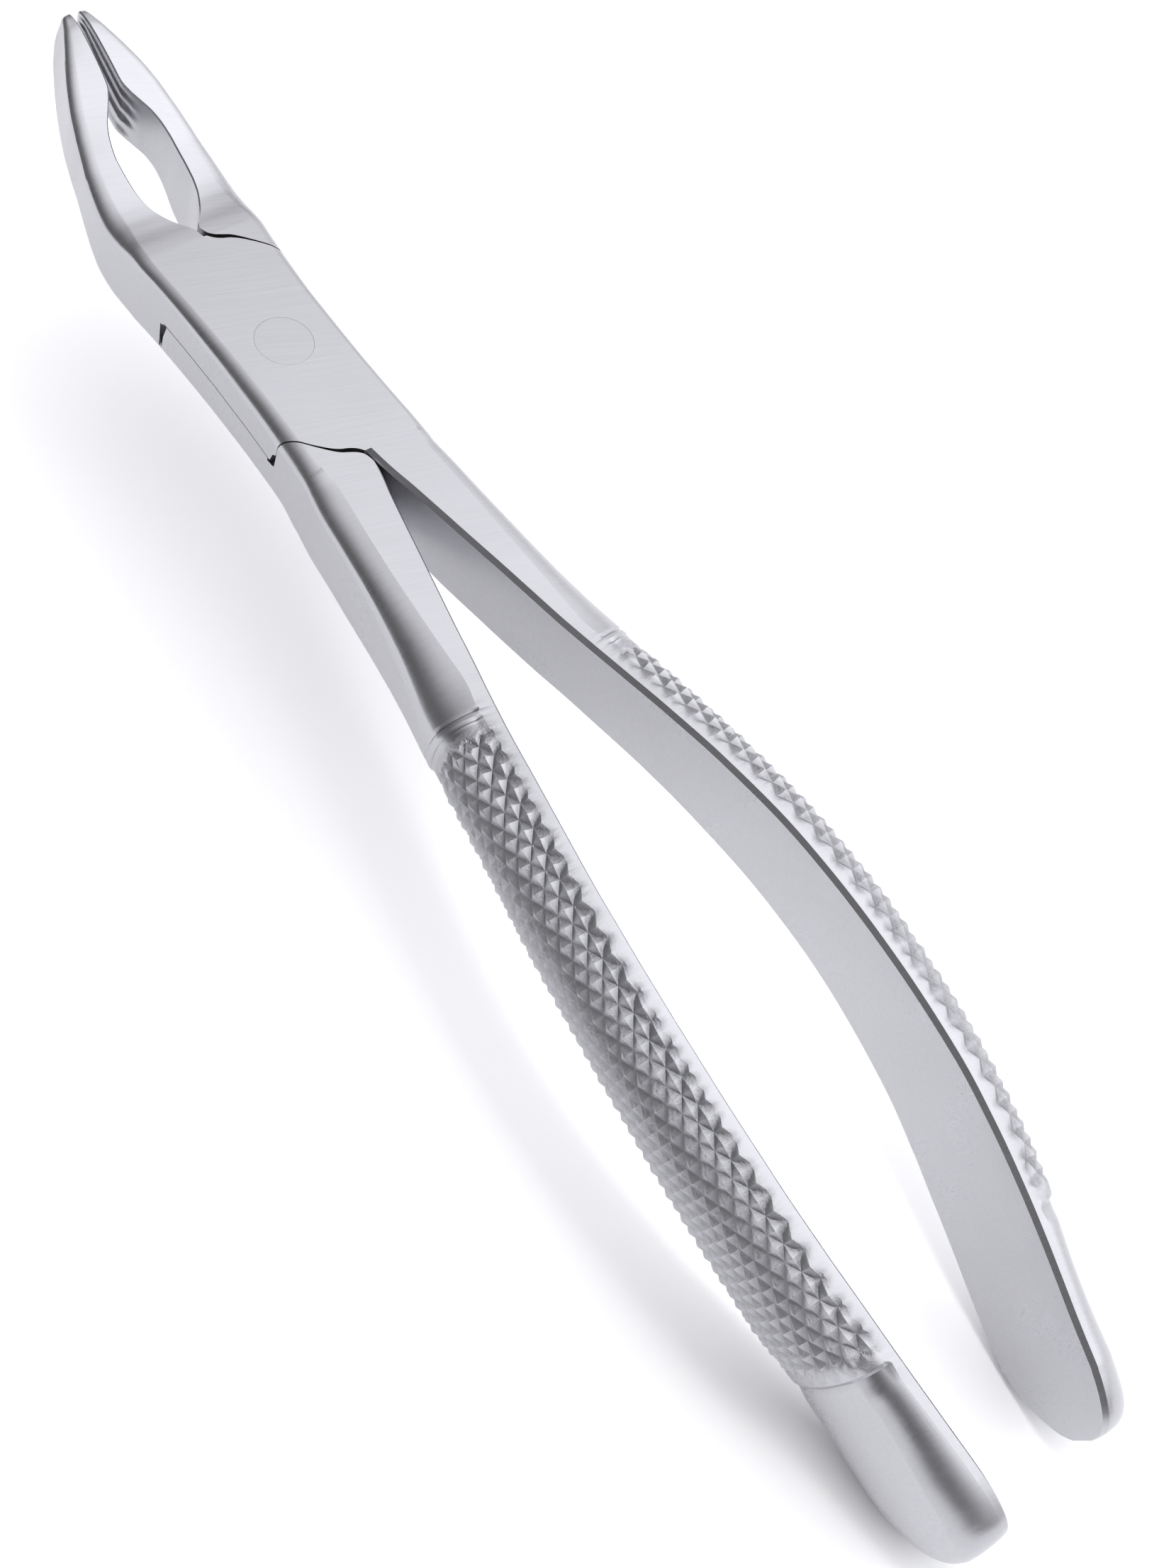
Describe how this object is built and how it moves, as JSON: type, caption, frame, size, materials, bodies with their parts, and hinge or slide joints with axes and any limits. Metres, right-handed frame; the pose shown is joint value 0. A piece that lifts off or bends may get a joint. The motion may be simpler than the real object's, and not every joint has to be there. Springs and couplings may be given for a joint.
{
  "type": "extraction forceps",
  "caption": "Hand forceps for drawing upper teeth: two half-lapped levers on a flush pivot screw, with bowed knurled handles and slim curved beaks with grooved tips.",
  "frame": {"origin": "on the pivot axis, at the back face of the joint", "axes": "+Z along the pivot axis, from the back face of the joint to its front face; +Y towards the beak tips, -Y towards the handles; +X towards the right handle"},
  "size_m": [0.034, 0.1727, 0.0338],
  "materials": {
    "half_steel": "satin stainless steel, fine brushed, no coating",
    "screw_steel": "stainless steel, ground flush with the joint face"
  },
  "bodies": {
    "left_half": {"left_handle_half": "half_steel", "pivot_screw": "screw_steel"},
    "right_half": {"right_handle_half": "half_steel"}
  },
  "joints": [
    {"name": "pivot", "type": "hinge", "parent": "left_half", "child": "right_half", "pos_m": [0, 0, 0.0045], "axis": [0, 0, 1], "range_deg": [-1.2, 90]}
  ]
}
